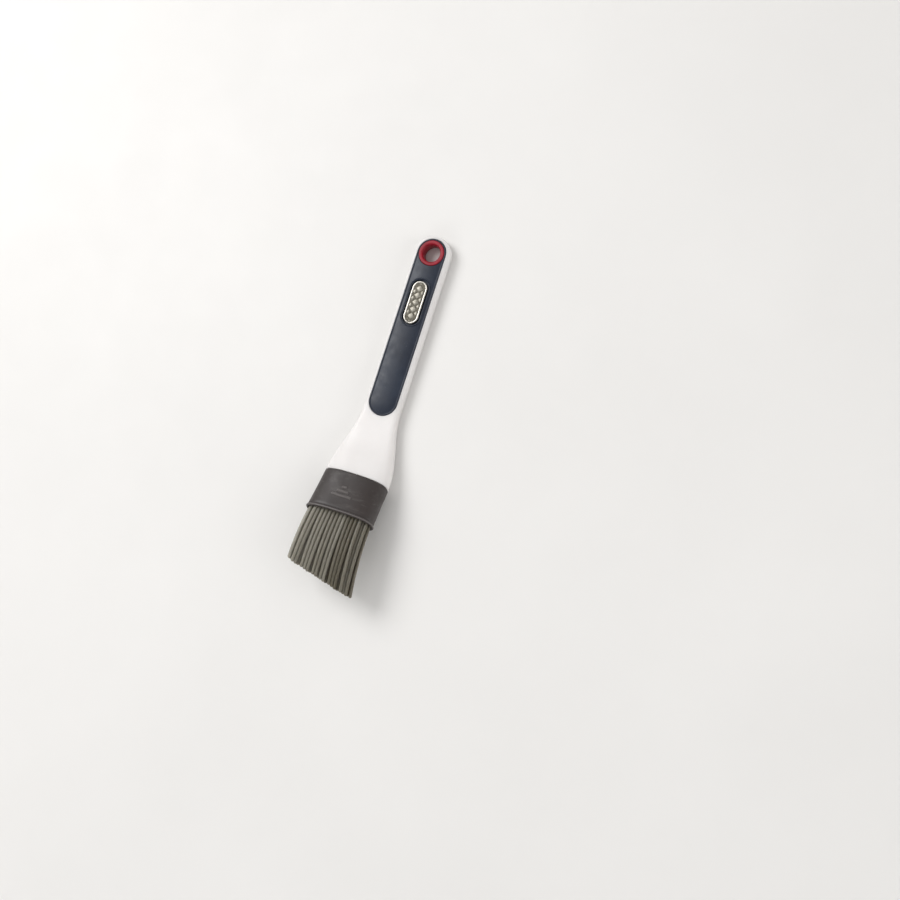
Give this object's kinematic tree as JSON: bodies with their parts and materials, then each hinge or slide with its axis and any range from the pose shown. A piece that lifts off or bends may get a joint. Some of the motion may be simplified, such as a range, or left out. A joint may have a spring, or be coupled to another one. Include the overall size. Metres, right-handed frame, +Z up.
{
  "type": "pastry brush",
  "caption": "Silicone pastry brush: soft-grip handle with badge plate and ringed hanging hole, angled pull-off head and flexing bristles cut on a slant.",
  "frame": {"origin": "middle of the footprint, on the surface that the brush lies on, badge side up", "axes": "+Z up out of the badge side, +Y towards the hanging end, +X towards the side with the longer bristles"},
  "size_m": [0.0444, 0.2201, 0.027],
  "materials": {
    "white_plastic": "satin",
    "soft_grip": "soft-touch matte",
    "red_plastic": "satin",
    "satin_nickel": "satin nickel",
    "tape": "matte",
    "collar_silicone": "matte silicone",
    "bristle_silicone": "translucent silicone"
  },
  "bodies": {
    "handle": {"handle_body": "white_plastic", "front_grip": "soft_grip", "rear_grip": "soft_grip", "hanging_ring": "red_plastic", "badge_plate": "satin_nickel", "badge_adhesive": "tape"},
    "head": {"head_collar": "collar_silicone"},
    "row_1": {"bristle_row_1": "bristle_silicone"},
    "row_2": {"bristle_row_2": "bristle_silicone"},
    "row_3": {"bristle_row_3": "bristle_silicone"},
    "row_4": {"bristle_row_4": "bristle_silicone"},
    "row_5": {"bristle_row_5": "bristle_silicone"}
  },
  "joints": [
    {"name": "head_pull", "type": "slide", "parent": "handle", "child": "head", "axis": [0, -0.9367, 0.3502], "range_m": [0, 0.03]},
    {"name": "row_1_bend", "type": "hinge", "parent": "head", "child": "row_1", "pos_m": [0, -0.06845, 0.01326], "axis": [1, 0, 0], "range_deg": [-26, 24], "stiffness_Nm_per_rad": 0.01},
    {"name": "row_2_bend", "type": "hinge", "parent": "head", "child": "row_2", "pos_m": [0, -0.0677, 0.01528], "axis": [1, 0, 0], "range_deg": [-26, 24], "stiffness_Nm_per_rad": 0.01},
    {"name": "row_3_bend", "type": "hinge", "parent": "head", "child": "row_3", "pos_m": [0, -0.06695, 0.01729], "axis": [1, 0, 0], "range_deg": [-26, 24], "stiffness_Nm_per_rad": 0.01},
    {"name": "row_4_bend", "type": "hinge", "parent": "head", "child": "row_4", "pos_m": [0, -0.0662, 0.0193], "axis": [1, 0, 0], "range_deg": [-26, 24], "stiffness_Nm_per_rad": 0.01},
    {"name": "row_5_bend", "type": "hinge", "parent": "head", "child": "row_5", "pos_m": [0, -0.06544, 0.02132], "axis": [1, 0, 0], "range_deg": [-26, 24], "stiffness_Nm_per_rad": 0.01}
  ],
  "couplings": [
    {"joint": "row_1_bend", "follows": "row_3_bend", "ratio": 1},
    {"joint": "row_2_bend", "follows": "row_3_bend", "ratio": 1},
    {"joint": "row_4_bend", "follows": "row_3_bend", "ratio": 1},
    {"joint": "row_5_bend", "follows": "row_3_bend", "ratio": 1}
  ]
}
